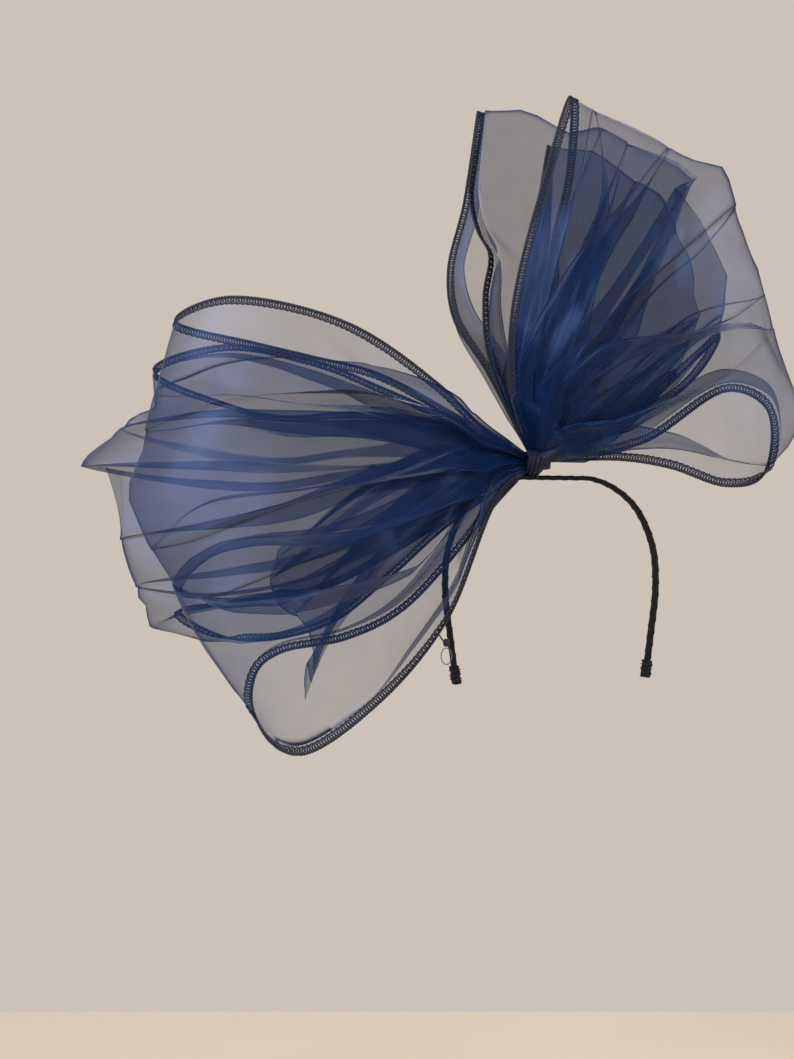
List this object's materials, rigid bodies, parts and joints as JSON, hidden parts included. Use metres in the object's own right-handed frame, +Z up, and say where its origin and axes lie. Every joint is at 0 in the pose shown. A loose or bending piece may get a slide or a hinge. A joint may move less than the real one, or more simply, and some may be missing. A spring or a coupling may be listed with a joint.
{
  "type": "hair bow headband",
  "caption": "Oversized sheer organza bow with wide gathered loops and overlocked edges, tied by a small knot on a narrow ribbon-covered headband.",
  "frame": {"origin": "on the flat underside of the headband's crown, straight below the knot", "axes": "+X along the bow's spread, towards its upright half; +Y towards the back; +Z up, away from the head"},
  "size_m": [0.4742, 0.1874, 0.4372],
  "materials": {
    "organza": "satin",
    "edge_thread": "matte",
    "knot_fabric": "satin",
    "band_ribbon": "satin",
    "band_core": "satin",
    "filament": "gloss"
  },
  "bodies": {
    "crown": {"band_core_crown": "band_core", "band_wrap_crown": "band_ribbon", "pinched_centre": "organza", "binding_thread": "edge_thread", "knot_wrap": "knot_fabric", "tack_stitch_front": "edge_thread", "tack_stitch_back": "edge_thread"},
    "near_arm": {"band_core_near_arm": "band_core", "band_wrap_near_arm": "band_ribbon", "band_tip_near": "band_ribbon"},
    "far_arm": {"band_core_far_arm": "band_core", "band_wrap_far_arm": "band_ribbon", "band_tip_far": "band_ribbon"},
    "left_lobe": {"left_front_loop": "organza", "left_rear_loop": "organza", "left_inner_loop": "organza", "left_front_top_edge": "edge_thread", "left_front_bottom_edge": "edge_thread", "left_rear_top_edge": "edge_thread", "left_rear_bottom_edge": "edge_thread", "edge_thread_knot": "edge_thread", "filament_end_loop": "filament"},
    "right_lobe": {"right_front_loop": "organza", "right_rear_loop": "organza", "right_inner_loop": "organza", "right_front_top_edge": "edge_thread", "right_front_bottom_edge": "edge_thread", "right_inner_top_edge": "edge_thread", "right_inner_bottom_edge": "edge_thread", "right_rear_top_edge": "edge_thread", "right_rear_bottom_edge": "edge_thread"}
  },
  "joints": [
    {"name": "near_arm_flex", "type": "hinge", "parent": "crown", "child": "near_arm", "pos_m": [-0.0522, -0.019, -0.02307], "axis": [-0.342, 0.9397, 0], "range_deg": [-3, 8], "stiffness_Nm_per_rad": 1.2},
    {"name": "far_arm_flex", "type": "hinge", "parent": "crown", "child": "far_arm", "pos_m": [0.07475, 0.02721, -0.02307], "axis": [0.342, -0.9397, 0], "range_deg": [-3, 8], "stiffness_Nm_per_rad": 1.2},
    {"name": "left_lobe_tilt", "type": "hinge", "parent": "crown", "child": "left_lobe", "pos_m": [0, 0, 0.013], "axis": [0, 1, 0], "range_deg": [-6, 8]},
    {"name": "right_lobe_tilt", "type": "hinge", "parent": "crown", "child": "right_lobe", "pos_m": [0, 0, 0.013], "axis": [0, -1, 0], "range_deg": [-5, 8]}
  ]
}
